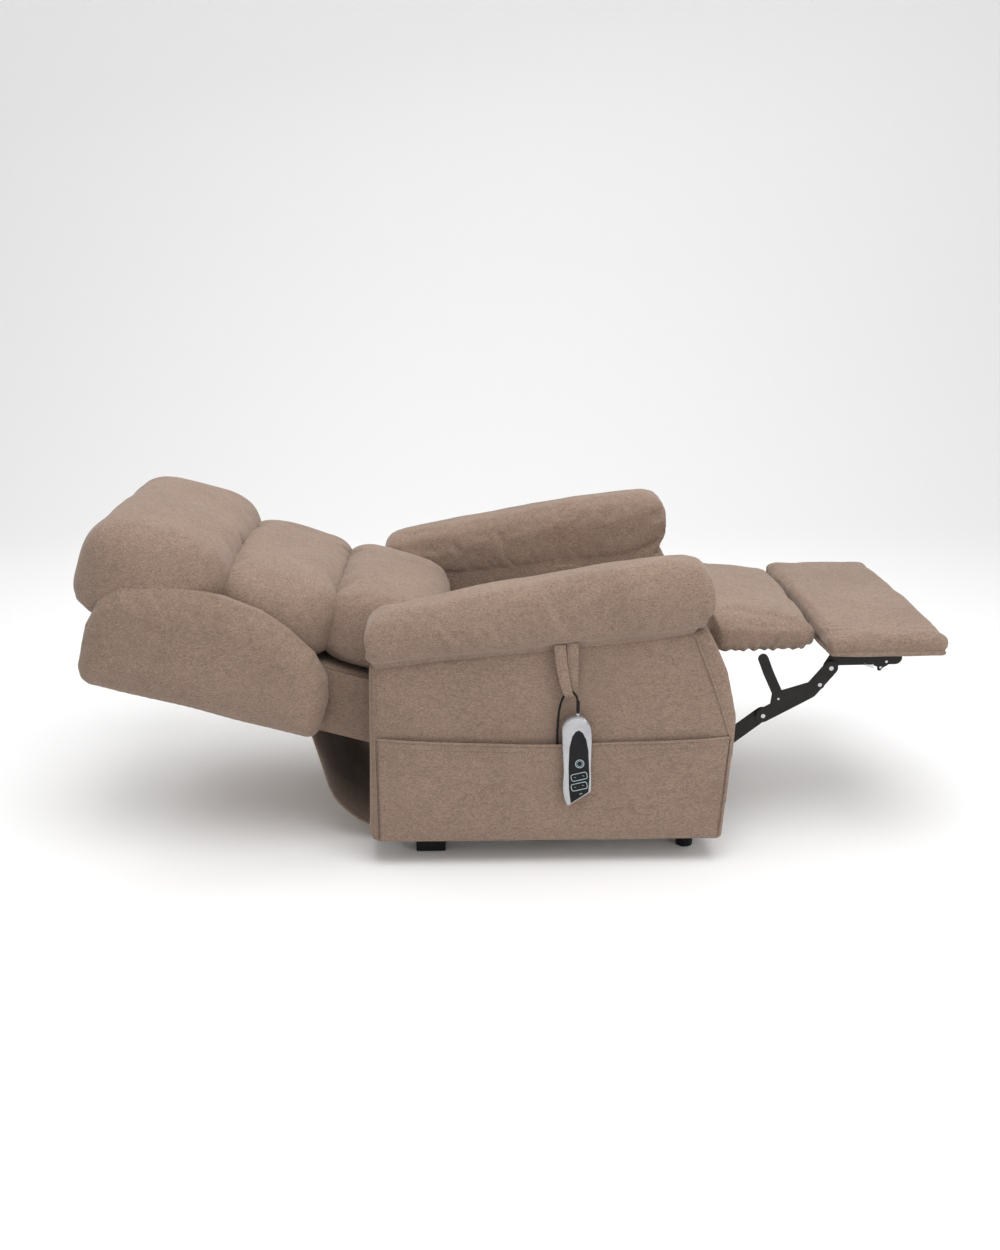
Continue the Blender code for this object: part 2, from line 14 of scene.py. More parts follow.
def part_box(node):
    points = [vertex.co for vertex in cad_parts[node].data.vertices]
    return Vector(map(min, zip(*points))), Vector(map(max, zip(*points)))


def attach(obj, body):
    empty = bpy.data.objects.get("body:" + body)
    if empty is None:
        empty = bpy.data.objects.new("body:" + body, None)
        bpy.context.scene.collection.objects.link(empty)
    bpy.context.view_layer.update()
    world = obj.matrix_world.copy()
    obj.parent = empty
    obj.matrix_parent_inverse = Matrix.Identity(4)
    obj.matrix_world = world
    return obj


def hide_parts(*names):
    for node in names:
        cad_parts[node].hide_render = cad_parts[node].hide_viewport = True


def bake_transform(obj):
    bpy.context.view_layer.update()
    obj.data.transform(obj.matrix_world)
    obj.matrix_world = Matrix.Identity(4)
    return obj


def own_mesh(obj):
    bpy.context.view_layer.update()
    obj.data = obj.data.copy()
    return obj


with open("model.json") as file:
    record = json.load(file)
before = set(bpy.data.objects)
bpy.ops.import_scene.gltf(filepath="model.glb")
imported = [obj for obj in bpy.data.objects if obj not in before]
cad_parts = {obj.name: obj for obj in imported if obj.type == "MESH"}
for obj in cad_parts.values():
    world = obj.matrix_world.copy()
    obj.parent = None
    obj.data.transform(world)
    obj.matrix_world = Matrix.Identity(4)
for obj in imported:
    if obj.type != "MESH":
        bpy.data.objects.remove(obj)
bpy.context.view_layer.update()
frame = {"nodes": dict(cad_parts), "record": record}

SIDES = (("right", -1), ("left", 1))


# Camera, light and floor ------------------------------------------------------------------------
def add_camera():
    data = bpy.data.cameras.new("camera")
    data.sensor_fit = "VERTICAL"
    data.sensor_height = 36.0
    data.lens = 36.0
    camera = bpy.data.objects.new("camera", data)
    camera.location = (-0.094, -2.79, 1.343)
    camera.rotation_euler = (radians(90 - 18.1), 0.0, radians(-1.45))
    bpy.context.scene.collection.objects.link(camera)
    bpy.context.scene.camera = camera


def add_area_light(name, location, target, size, power, colour=(1.0, 1.0, 1.0)):
    data = bpy.data.lights.new(name, "AREA")
    data.shape = "RECTANGLE"
    data.size, data.size_y = size
    data.energy = power
    data.color = colour
    light = bpy.data.objects.new(name, data)
    light.location = location
    aim = Vector(target) - Vector(location)
    light.rotation_euler = aim.to_track_quat("-Z", "Y").to_euler()
    bpy.context.scene.collection.objects.link(light)


def add_studio():
    """A pale floor that curves up into a backdrop, an even white world and three soft lights."""
    world = bpy.data.worlds.new("studio")
    world.use_nodes = True
    background = world.node_tree.nodes["Background"]
    background.inputs["Color"].default_value = (1.0, 1.0, 1.0, 1.0)
    background.inputs["Strength"].default_value = 0.66
    bpy.context.scene.world = world
    bpy.context.scene.view_settings.view_transform = "Standard"
    add_area_light("key", (0.4, -1.3, 3.2), (0.0, 0.0, 0.4), (2.6, 2.0), 62.0)
    add_area_light("top", (-0.6, 0.9, 3.2), (-0.1, 0.0, 0.4), (3.2, 2.4), 38.0)
    add_area_light("front", (2.4, -2.4, 1.4), (0.1, 0.0, 0.3), (1.6, 1.6), 16.0)
    bm = bmesh.new()
    profile = [(-9.0, 0.0), (2.6, 0.0)]
    radius = 1.6
    profile += [(2.6 + radius * sin(a * pi / 24), radius - radius * cos(a * pi / 24)) for a in range(1, 13)]
    profile.append((2.6 + radius, 8.0))
    rows = [[bm.verts.new((x, y, z)) for x in (-12.0, 12.0)] for y, z in profile]
    for near, far in zip(rows, rows[1:]):
        bm.faces.new((near[0], near[1], far[1], far[0]))
    floor = link_mesh("floor", bm, plain_material("floor", (0.93, 0.93, 0.93), 0.8), smooth=True)


# Meshes and placing -----------------------------------------------------------------------------
def link_mesh(name, bm, material, smooth=True):
    mesh = bpy.data.meshes.new(name)
    bm.to_mesh(mesh)
    bm.free()
    mesh.materials.append(material)
    if smooth:
        mesh.shade_smooth()
    obj = bpy.data.objects.new(name, mesh)
    bpy.context.scene.collection.objects.link(obj)
    return obj


def place(obj, body):
    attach(obj, body)
    return obj


def apply_modifiers(obj):
    """Replaces the mesh with what its modifiers make of it."""
    graph = bpy.context.evaluated_depsgraph_get()
    made = bpy.data.meshes.new_from_object(obj.evaluated_get(graph))
    obj.modifiers.clear()
    old = obj.data
    obj.data = made
    bpy.data.meshes.remove(old)


def modified(obj, kind, **settings):
    """Adds one modifier with these settings and applies it."""
    modifier = obj.modifiers.new(kind.lower(), kind)
    for name, value in settings.items():
        setattr(modifier, name, value)
    apply_modifiers(obj)


def skin(bm, rows, closed=True):
    """Quads between neighbouring rows of points. The rows run round a form unless they are open."""
    count = len(rows[0])
    for first, second in zip(rows, rows[1:]):
        for i in range(count if closed else count - 1):
            after = (i + 1) % count
            bm.faces.new((first[i], first[after], second[after], second[i]))


def close_end(bm, loop, where=None):
    """A fan of triangles over an open end, up to a point there or to the loop's middle."""
    tip = bm.verts.new(where or sum((v.co for v in loop), Vector()) / len(loop))
    for i, vert in enumerate(loop):
        bm.faces.new((vert, loop[(i + 1) % len(loop)], tip))


def slab(bm, below, above):
    """A closed plate between two outlines."""
    rows = []
    for outline in (below, above):
        rows.append([bm.verts.new(point) for point in outline])
        bm.faces.new(rows[-1])
    skin(bm, rows)
    bmesh.ops.recalc_face_normals(bm, faces=bm.faces)


def nearest_tree(dots):
    """A search tree over a list of points."""
    tree = KDTree(len(dots))
    for index, dot in enumerate(dots):
        tree.insert(dot, index)
    tree.balance()
    return tree


def coordinates(obj):
    flat = np.empty(len(obj.data.vertices) * 3)
    obj.data.vertices.foreach_get("co", flat)
    return flat.reshape(-1, 3)


def normals(obj):
    flat = np.empty(len(obj.data.vertices) * 3)
    obj.data.vertices.foreach_get("normal", flat)
    return flat.reshape(-1, 3)


def set_coordinates(obj, points):
    obj.data.vertices.foreach_set("co", np.ascontiguousarray(points, np.float32).ravel())
    obj.data.update()


def catmull_rom(points, spans, closed=False):
    """A smooth line through points, with a number of steps between each two."""
    points = [Vector(point) for point in points]
    count = len(points)
    last = count if closed else count - 1
    line = []
    for i in range(last):
        if closed:
            before, start, end, after = (points[(i + k) % count] for k in (-1, 0, 1, 2))
        else:
            before, start = points[max(i - 1, 0)], points[i]
            end, after = points[i + 1], points[min(i + 2, count - 1)]
        for step in range(spans):
            t = step / spans
            pull = 2 * before - 5 * start + 4 * end - after
            twist = -before + 3 * start - 3 * end + after
            line.append(0.5 * (2 * start + (end - before) * t + pull * t * t + twist * t * t * t))
    if not closed:
        line.append(points[-1])
    return line


def even_steps(line, spacing):
    """Points along a line at even distances."""
    line = [Vector(point) for point in line]
    lengths = [0.0]
    for a, b in zip(line, line[1:]):
        lengths.append(lengths[-1] + (b - a).length)
    count = max(int(lengths[-1] / spacing), 1)
    made = []
    i = 0
    for step in range(count + 1):
        goal = lengths[-1] * step / count
        while i < len(line) - 2 and lengths[i + 1] < goal:
            i += 1
        share = (goal - lengths[i]) / max(lengths[i + 1] - lengths[i], 1e-9)
        made.append(line[i].lerp(line[i + 1], min(share, 1.0)))
    return made


# Materials --------------------------------------------------------------------------------------
def nodes_of(material):
    tree = material.node_tree
    return tree, tree.nodes, tree.links


def plain_material(name, colour, roughness, metallic=0.0):
    made = bpy.data.materials.new(name)
    made.use_nodes = True
    shader = made.node_tree.nodes["Principled BSDF"]
    shader.inputs["Base Color"].default_value = (*colour, 1.0)
    shader.inputs["Roughness"].default_value = roughness
    shader.inputs["Metallic"].default_value = metallic
    return made


def add_noise(nodes, links, coords, scale, detail=4.0, roughness=0.55, stretch=None):
    """A noise texture on object coordinates, which may be stretched along an axis."""
    texture = nodes.new("ShaderNodeTexNoise")
    texture.inputs["Scale"].default_value = scale
    texture.inputs["Detail"].default_value = detail
    texture.inputs["Roughness"].default_value = roughness
    source = coords
    if stretch:
        mapping = nodes.new("ShaderNodeMapping")
        mapping.inputs["Scale"].default_value = stretch
        links.new(coords, mapping.inputs["Vector"])
        source = mapping.outputs["Vector"]
    links.new(source, texture.inputs["Vector"])
    return texture.outputs["Fac"]


def add_math(nodes, links, operation, a, b):
    made = nodes.new("ShaderNodeMath")
    made.operation = operation
    for socket, value in zip(made.inputs, (a, b)):
        if isinstance(value, (int, float)):
            socket.default_value = value
        else:
            links.new(value, socket)
    return made.outputs[0]


def add_ramp(nodes, links, factor, stops):
    ramp = nodes.new("ShaderNodeValToRGB")
    elements = ramp.color_ramp.elements
    while len(elements) < len(stops):
        elements.new(0.5)
    for element, (position, colour) in zip(elements, stops):
        element.position = position
        element.color = (*colour, 1.0)
    links.new(factor, ramp.inputs["Fac"])
    return ramp.outputs["Color"]


def add_bump(nodes, links, height, strength, distance, under=None):
    bump = nodes.new("ShaderNodeBump")
    bump.inputs["Strength"].default_value = strength
    bump.inputs["Distance"].default_value = distance
    links.new(height, bump.inputs["Height"])
    if under:
        links.new(under, bump.inputs["Normal"])
    return bump.outputs["Normal"]


def chenille(name, dark, light):
    """Brushed chenille: ribs of tufts, a fine fleck, patches where the nap lies over, and a sheen."""
    made = plain_material(name, light, 0.95)
    tree, nodes, links = nodes_of(made)
    shader = nodes["Principled BSDF"]
    shader.inputs["Sheen Weight"].default_value = 0.22
    shader.inputs["Sheen Roughness"].default_value = 0.5
    shader.inputs["Sheen Tint"].default_value = (1.0, 0.93, 0.87, 1.0)
    shader.inputs["Specular IOR Level"].default_value = 0.12
    coords = nodes.new("ShaderNodeTexCoord").outputs["Object"]
    patches = add_noise(nodes, links, coords, 7.0, 3.0, 0.5)
    brushed = add_noise(nodes, links, coords, 60.0, 3.0, 0.6, (0.8, 1.0, 1.4))
    ribs = add_noise(nodes, links, coords, 330.0, 2.0, 0.6, (0.55, 0.7, 1.4))
    tufts = add_noise(nodes, links, coords, 520.0, 2.0, 0.6)
    pile = add_noise(nodes, links, coords, 1500.0, 1.0, 0.5)
    blend = add_math(nodes, links, "MULTIPLY", patches, 0.10)
    blend = add_math(nodes, links, "ADD", blend, add_math(nodes, links, "MULTIPLY", brushed, 0.13))
    blend = add_math(nodes, links, "ADD", blend, add_math(nodes, links, "MULTIPLY", ribs, 0.38))
    blend = add_math(nodes, links, "ADD", blend, add_math(nodes, links, "MULTIPLY", tufts, 0.39))
    middle = tuple((a + b) / 2 for a, b in zip(dark, light))
    colour = add_ramp(nodes, links, blend, ((0.38, dark), (0.50, middle), (0.62, light)))
    links.new(colour, shader.inputs["Base Color"])
    low = add_bump(nodes, links, brushed, 0.22, 0.0020)
    mid = add_bump(nodes, links, ribs, 0.60, 0.0011, low)
    mid = add_bump(nodes, links, tufts, 0.50, 0.0008, mid)
    fine = add_bump(nodes, links, pile, 0.45, 0.0004, mid)
    links.new(fine, shader.inputs["Normal"])
    return made


def moulded(name, colour, roughness, grain, metallic=0.0, grain_scale=900.0, coat=0.0):
    """Moulded plastic or a painted coat: a fine grain with slightly uneven gloss."""
    made = plain_material(name, colour, roughness, metallic)
    tree, nodes, links = nodes_of(made)
    shader = nodes["Principled BSDF"]
    shader.inputs["Coat Weight"].default_value = coat
    coords = nodes.new("ShaderNodeTexCoord").outputs["Object"]
    fine = add_noise(nodes, links, coords, grain_scale, 2.0)
    broad = add_noise(nodes, links, coords, 22.0, 3.0)
    shade = tuple(min(value * 1.35 + 0.004, 1.0) for value in colour)
    links.new(add_ramp(nodes, links, broad, ((0.35, colour), (0.75, shade))), shader.inputs["Base Color"])
    rough = add_math(nodes, links, "MULTIPLY_ADD", broad, 0.16)
    rough.node.inputs[2].default_value = roughness - 0.08
    links.new(rough, shader.inputs["Roughness"])
    links.new(add_bump(nodes, links, fine, grain, 0.0002), shader.inputs["Normal"])
    return made


def dull(material, level):
    """Cuts a surface's mirror share, for dark parts that hardly shine."""
    material.node_tree.nodes["Principled BSDF"].inputs["Specular IOR Level"].default_value = level
    return material


def brushed_steel(name, colour, roughness):
    made = plain_material(name, colour, roughness, 1.0)
    tree, nodes, links = nodes_of(made)
    shader = nodes["Principled BSDF"]
    coords = nodes.new("ShaderNodeTexCoord").outputs["Object"]
    lines = add_noise(nodes, links, coords, 420.0, 3.0, 0.6, (0.12, 1.0, 1.0))
    rough = add_math(nodes, links, "MULTIPLY_ADD", lines, 0.25)
    rough.node.inputs[2].default_value = roughness - 0.1
    links.new(rough, shader.inputs["Roughness"])
    links.new(add_bump(nodes, links, lines, 0.2, 0.0001), shader.inputs["Normal"])
    return made


def plywood(name):
    made = plain_material(name, (0.45, 0.30, 0.16), 0.6)
    tree, nodes, links = nodes_of(made)
    shader = nodes["Principled BSDF"]
    coords = nodes.new("ShaderNodeTexCoord").outputs["Object"]
    grain = add_noise(nodes, links, coords, 26.0, 6.0, 0.6, (0.14, 1.0, 1.0))
    colour = add_ramp(nodes, links, grain, ((0.35, (0.34, 0.20, 0.10)), (0.65, (0.56, 0.40, 0.23))))
    links.new(colour, shader.inputs["Base Color"])
    links.new(add_bump(nodes, links, grain, 0.3, 0.0004), shader.inputs["Normal"])
    return made


# Soft forms -------------------------------------------------------------------------------------
def soft_copy(name, node, voxel, inset):
    """A copy of a CAD solid, pulled in a little and remeshed to an even grid."""
    source = frame["nodes"][node]
    obj = bpy.data.objects.new(name, source.data.copy())
    obj.matrix_world = source.matrix_world.copy()
    bpy.context.scene.collection.objects.link(obj)
    bpy.context.view_layer.update()
    obj.data.transform(obj.matrix_world)
    obj.matrix_world = Matrix.Identity(4)
    modified(obj, "REMESH", mode="VOXEL", voxel_size=voxel)
    set_coordinates(obj, coordinates(obj) - normals(obj) * inset)
    obj.data.materials.clear()
    return obj


def inflate(obj, pinned, pressure=4.0, cap=0.022, grow=0.03, frames=20, stiffness=12.0):
    """Swells a closed form like a stuffed cover, held where pinned is 1, and caps how far it moves."""
    start = coordinates(obj)
    group = obj.vertex_groups.new(name="held")
    for index, weight in enumerate(pinned):
        if weight > 0.01:
            group.add([index], float(weight), "REPLACE")
    cloth = obj.modifiers.new("cloth", "CLOTH")
    settings = cloth.settings
    settings.quality = 5
    settings.mass = 0.25
    settings.tension_stiffness = stiffness
    settings.compression_stiffness = stiffness
    settings.shear_stiffness = stiffness * 0.5
    settings.bending_stiffness = 0.35
    settings.use_pressure = True
    settings.uniform_pressure_force = pressure
    settings.shrink_min = -grow
    settings.shrink_max = -grow
    settings.effector_weights.gravity = 0.0
    settings.vertex_group_mass = "held"
    settings.pin_stiffness = 4.0
    cloth.collision_settings.use_collision = False
    cloth.collision_settings.use_self_collision = False
    cloth.point_cache.frame_start = 1
    cloth.point_cache.frame_end = frames
    scene = bpy.context.scene
    for number in range(1, frames + 1):
        scene.frame_set(number)
    apply_modifiers(obj)
    scene.frame_set(1)
    moved = coordinates(obj) - start
    length = np.linalg.norm(moved, axis=1, keepdims=True)
    keep = cap * np.tanh(length / cap) / np.maximum(length, 1e-9)
    set_coordinates(obj, start + moved * keep)
    obj.vertex_groups.clear()


def refine(obj, material):
    """Smooths the simulated form with one subdivision and gives it its cover."""
    modified(obj, "SUBSURF", levels=1, render_levels=1)
    obj.data.materials.clear()
    obj.data.materials.append(material)
    obj.data.shade_smooth()


def move_along(obj, amount, direction=None):
    """Moves each point along its normal, or along a direction, by amount(point, normal)."""
    points, facing = coordinates(obj), normals(obj)
    shift = np.array([amount(p, n) for p, n in zip(points, facing)])
    way = facing if direction is None else np.array(direction)[None, :]
    set_coordinates(obj, points + way * shift[:, None])


def seam_groove(obj, lines, depth=0.004, width=0.009):
    """Presses a soft channel into the cover along lines that run close to it."""
    tree = nearest_tree([dot for line in lines for dot in even_steps(line, 0.004)])

    def amount(point, _):
        distance = tree.find(point)[2]
        return -depth * np.exp(-((distance / width) ** 2)) if distance < 3 * width else 0.0

    move_along(obj, amount)


def folds(obj, centre, along, spread, waves, height):
    """Pinch wrinkles that fan out of a point: ripples across a direction that die away from it."""
    centre, along = np.array(centre), np.array(along) / np.linalg.norm(along)

    def amount(point, normal):
        offset = point - centre
        reach = np.linalg.norm(offset)
        if reach > 3 * spread:
            return 0.0
        across = offset - along * (offset @ along)
        side = np.cross(along, normal)
        phase = (across @ side) * waves + 2.2 * noise.noise(Vector(point) * 9.0)
        return height * sin(phase) * np.exp(-((reach / spread) ** 2))

    move_along(obj, amount)


def soft_ripple(obj, size, height, seed=0.0, stretch=(1.0, 1.0, 1.0)):
    """Low uneven swells that keep a stuffed surface from looking turned on a lathe."""

    def amount(point, _):
        x, y, z = (value * more / size for value, more in zip(point, stretch))
        return height * noise.noise(Vector((x + seed, y, z)))

    move_along(obj, amount)


def laid_on(obj, line, lift=0.0):
    """A line moved onto the nearest points of a surface, and lifted off it."""
    graph = bpy.context.evaluated_depsgraph_get()
    graph.update()
    tree = BVHTree.FromObject(obj, graph)
    made = []
    for point in line:
        where, facing, _, _ = tree.find_nearest(Vector(point))
        made.append(where + facing * lift)
    return made


def tube(name, line, radius, material, closed=False, sides=3):
    """A round piping or wire along a line."""
    data = bpy.data.curves.new(name, "CURVE")
    data.dimensions = "3D"
    data.bevel_depth = radius
    data.bevel_resolution = sides
    data.use_fill_caps = not closed
    spline = data.splines.new("POLY")
    spline.points.add(len(line) - 1)
    for target, point in zip(spline.points, line):
        target.co = (*point, 1.0)
    spline.use_cyclic_u = closed
    data.materials.append(material)
    obj = bpy.data.objects.new(name, data)
    bpy.context.scene.collection.objects.link(obj)
    return obj


def stitches(name, line, material, length=0.0042, gap=0.0028, radius=0.00055):
    """A row of short thread stitches along a line, as one mesh of rounded beads."""
    bm = bmesh.new()
    dots = even_steps(line, length + gap)
    for start, end in zip(dots, dots[1:]):
        along = end - start
        if along.length < 1e-6:
            continue
        turn = along.to_track_quat("Z", "Y").to_matrix().to_4x4()
        stretch = Matrix.Diagonal((radius, radius, length / 2, 1.0))
        place_at = Matrix.Translation(start + along * 0.3) @ turn @ stretch
        bmesh.ops.create_icosphere(bm, subdivisions=1, radius=1.0, matrix=place_at)
    return link_mesh(name, bm, material)


# Covers of the chair ------------------------------------------------------------------------------
COVER = chenille("chenille", (0.160, 0.111, 0.084), (0.318, 0.228, 0.176))
THREAD = moulded("thread", (0.105, 0.075, 0.056), 0.8, 0.2)
LINING = moulded("black_lining", (0.010, 0.009, 0.009), 0.95, 0.3)


def outline_at(node, y):
    """The convex outline of a CAD solid seen along Y, as a loop of points at one Y."""
    obj = frame["nodes"][node]
    points = np.array([obj.matrix_world @ vertex.co for vertex in obj.data.vertices])
    return [Vector((x, y, z)) for x, z in convex_loop(points[:, [0, 2]])]


def convex_loop(points):
    """The convex outline of a set of 2-D points, anticlockwise (Andrew's chain)."""
    points = sorted(map(tuple, points))

    def half(run):
        chain = []
        for p in run:
            while len(chain) > 1 and turn(chain[-2], chain[-1], p) <= 1e-9:
                chain.pop()
            chain.append(p)
        return chain[:-1]

    return [np.array(p) for p in half(points) + half(points[::-1])]


def turn(a, b, c):
    return (b[0] - a[0]) * (c[1] - a[1]) - (b[1] - a[1]) * (c[0] - a[0])


def facing_weight(obj, direction, least=0.7):
    """1 for points whose normal runs along a direction, such as the underside of a pad."""
    return (normals(obj) @ np.array(direction) > least).astype(float)


def seam_weight(obj, lines, reach):
    """1 for points within reach of any of the lines."""
    tree = nearest_tree([dot for line in lines for dot in even_steps(line, 0.005)])
    return np.array([1.0 if tree.find(p)[2] < reach else 0.0 for p in coordinates(obj)])


def closed_line(points):
    return [*points, points[0]]


RECLINE = radians(15.73)  # the back's slope as built, fully reclined
BACK_CORNER = Vector((-0.897, 0.0, 0.403))  # the head end of the back's rear face
ALONG = Vector((cos(RECLINE), 0.0, -sin(RECLINE)))
OUTWARD = Vector((sin(RECLINE), 0.0, cos(RECLINE)))


def back_point(u, v, y=0.0):
    """A point of the backrest: u runs from the head to the seat, v towards the occupant."""
    return BACK_CORNER + Vector((0.0, y, 0.0)) + ALONG * u + OUTWARD * v


def stuffed_roll(name, section, half, dome, crown, rings=64):
    """A closed roll along Y: its section(angle) shrinks towards the crown over a dome at each end."""
    around = 88
    outline = [section(2 * pi * i / around) for i in range(around)]
    bm = bmesh.new()
    grid = []
    for ring in range(1, rings):
        y = -half * cos(pi * ring / rings)
        past = max(abs(y) - (half - dome), 0.0) / dome
        keep = (1 - past**2.4) ** (1 / 2.6) if past < 1 else 0.0
        points = [crown + (p - crown) * keep for p in outline]
        grid.append([bm.verts.new(back_point(p.x, p.y, y)) for p in points])
    skin(bm, grid)
    for loop, y in ((grid[0], -half), (grid[-1], half)):
        close_end(bm, loop, back_point(crown.x, crown.y, y))
    bmesh.ops.recalc_face_normals(bm, faces=bm.faces)
    return link_mesh(name, bm, COVER)


def round_box(start, end, low, high, power_rear, power_front):
    """A cushion's section, flat below and full above, and the point that its domed ends shrink to."""
    middle, reach = (start + end) / 2, (end - start) / 2
    height, rise = (low + high) / 2, (high - low) / 2

    def section(angle):
        across, up = cos(angle), sin(angle)
        power = power_front if across > 0 else power_rear
        bottom = 0.5 if up < 0 else power
        u = middle + reach * abs(across) ** power * (1 if across > 0 else -1)
        v = height + rise * abs(up) ** bottom * (1 if up > 0 else -1)
        return Vector((u, v))

    return section, Vector((middle, height * 0.9))


# Each back cushion: name, start and end along the back, base and crest, roundness towards the head and
# towards the seat, half width, length of its domed ends, and the seed of its unevenness.
CUSHIONS = (
    ("head", -0.084, 0.224, 0.126, 0.351, 0.66, 0.66, 0.297, 0.085, 1.3),
    ("middle", 0.196, 0.464, 0.140, 0.317, 0.58, 0.56, 0.272, 0.085, 4.1),
    ("lumbar", 0.438, 0.706, 0.150, 0.323, 0.62, 0.70, 0.2465, 0.065, 7.7),
)


def build_cushion(name, start, end, base, crest, rear, front, half, dome, seed):
    """A back cushion: a stuffed roll whose cover swells and pinches into wrinkles at its ends."""
    section, crown = round_box(start, end, base, crest, rear, front)
    obj = stuffed_roll(f"cushion_{name}", section, half, dome, crown)
    held = facing_weight(obj, -OUTWARD, 0.6)
    inflate(obj, held, pressure=2.6, cap=0.007, grow=0.05)
    soft_ripple(obj, 0.10, 0.0045, seed)
    soft_ripple(obj, 0.035, 0.0012, seed * 2, (0.5, 1.0, 1.0))
    refine(obj, COVER)
    for side in (-1, 1):
        corner = back_point((start + end) / 2 + 0.03, base + 0.03, side * (half - 0.012))
        folds(obj, corner, OUTWARD + Vector((0, 0.6 * side, 0)), 0.050, 330.0, 0.0020)
    if name == "lumbar":
        folds(obj, back_point(0.688, 0.235, 0.17), (0.0, 1.0, 0.25), 0.075, 420.0, 0.0020)
        folds(obj, back_point(0.600, 0.200, -0.243), (0.7, 0.0, 0.7), 0.055, 280.0, 0.0030)
    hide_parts(f"bolster_{name}")
    place(obj, "backrest")


def build_back():
    for cushion in CUSHIONS:
        build_cushion(*cushion)
    shell = soft_copy("back_cover", "back_shell", 0.009, 0.001)
    soft_ripple(shell, 0.12, 0.003, 2.0)
    refine(shell, COVER)
    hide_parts("back_shell")
    place(shell, "backrest")


FLAP_OUTLINE = (
    (0.440, 0.004), (0.690, 0.004), (0.694, 0.020), (0.694, 0.138), (0.686, 0.146), (0.440, 0.146),
)
FLAP_FACES = (0.2494, 0.2520)


def build_back_flaps():
    """The cover's cloth over each side of the lower back, which hides the hinge bracket."""
    for name, side in SIDES:
        bm = bmesh.new()
        slab(bm, *([back_point(u, v, side * level) for u, v in FLAP_OUTLINE] for level in FLAP_FACES))
        obj = link_mesh(f"back_flap_{name}", bm, COVER)
        modified(obj, "BEVEL", width=0.0011, segments=2)
        place(obj, "backrest")


WING_ROUND = 0.042  # how far in from its rim a wing thins


def build_wing(name, side):
    """A padded wing: both of its faces are crowned, and round off towards the rim."""
    node = f"wing_{name}"
    low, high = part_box(node)
    obj = soft_copy(f"wing_cover_{name}", node, 0.0055, 0.0)
    middle = (Vector(low) + Vector(high)) / 2
    points = coordinates(obj)
    rim = closed_line(outline_at(node, middle.y))
    tree = nearest_tree([(dot.x, middle.y, dot.z) for dot in even_steps(rim, 0.0012)])
    for i, point in enumerate(points):
        reach = tree.find((point[0], middle.y, point[2]))[2]
        round_off = max(1 - reach / WING_ROUND, 0.0)
        points[i, 1] = middle.y + (point[1] - middle.y) * (1 - 0.62 * round_off**2.4)
    set_coordinates(obj, points)
    held = (np.abs(normals(obj)[:, 1]) < 0.35).astype(float)
    inflate(obj, held, pressure=2.4, cap=0.006, grow=0.015)
    soft_ripple(obj, 0.14, 0.0026, 3.0 + side)
    refine(obj, COVER)
    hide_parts(node)
    place(obj, "backrest")


def line_height(line, x):
    """The height of a polyline of (x, z) points at one x, where x grows along it."""
    return float(np.interp(x, [p[0] for p in line], [p[1] for p in line]))


# An arm roll's crest and its seam with the panel, as (x, z), then how far from the chair's middle its inner
# and outer faces and the seam lie.
ROLL_CREST = (
    (-0.3075, 0.535), (-0.303, 0.552), (-0.292, 0.566), (-0.275, 0.574), (-0.150, 0.597),
    (0.000, 0.627), (0.180, 0.659), (0.300, 0.676), (0.345, 0.680), (0.372, 0.675),
    (0.389, 0.660), (0.398, 0.640), (0.4015, 0.606),
)
ROLL_SEAM = (
    (-0.3075, 0.484), (-0.300, 0.473), (-0.270, 0.474), (0.350, 0.538), (0.384, 0.543), (0.4015, 0.580),
)
ROLL_INSIDE, ROLL_OUTSIDE, ROLL_TUCK = 0.2622, 0.3975, 0.3655
ROLL_LINING_LOW = 0.425  # where the roll's inner face ends, behind the seat cushion


def roll_section(x):
    """One closed cross-section of an arm roll, as (y, z): a stuffed top over a root sunk in the panel."""
    inside, outside, tuck = ROLL_INSIDE, ROLL_OUTSIDE, ROLL_TUCK
    top, seam = line_height(ROLL_CREST, x), line_height(ROLL_SEAM, x)
    # 1 over the panel, and 0 past its ends, where the roll has no root
    sunk = max(min((x + 0.301) / 0.008, (0.378 - x) / 0.010, 1.0), 0.0)
    root, inner_low = seam - 0.018 * sunk, seam + (ROLL_LINING_LOW - seam) * sunk
    middle, height = (inside + outside) / 2, seam + (top - seam) * 0.5
    points = []
    for i in range(40):
        angle = pi * i / 39
        across, up = cos(angle), sin(angle)
        y = middle + (outside - inside) / 2 * abs(across) ** 0.52 * (1 if across > 0 else -1)
        points.append((y, height + (top - height) * max(up, 0.0) ** 0.62))
    lining = inside + 0.014
    points += [(inside, height + (inner_low - height) * i / 16) for i in range(1, 17)]
    points += [(lining, inner_low + (root - inner_low) * i / 6) for i in range(7)]
    points += [(lining + (tuck - 0.003 - lining) * i / 10, root) for i in range(1, 11)]
    for i in range(1, 16):
        angle = pi / 2 * i / 16
        out, down = sin(angle) ** 0.75, 1 - cos(angle) ** 0.75
        points.append((tuck + (outside - tuck) * out, seam - (seam - height) * down))
    return points


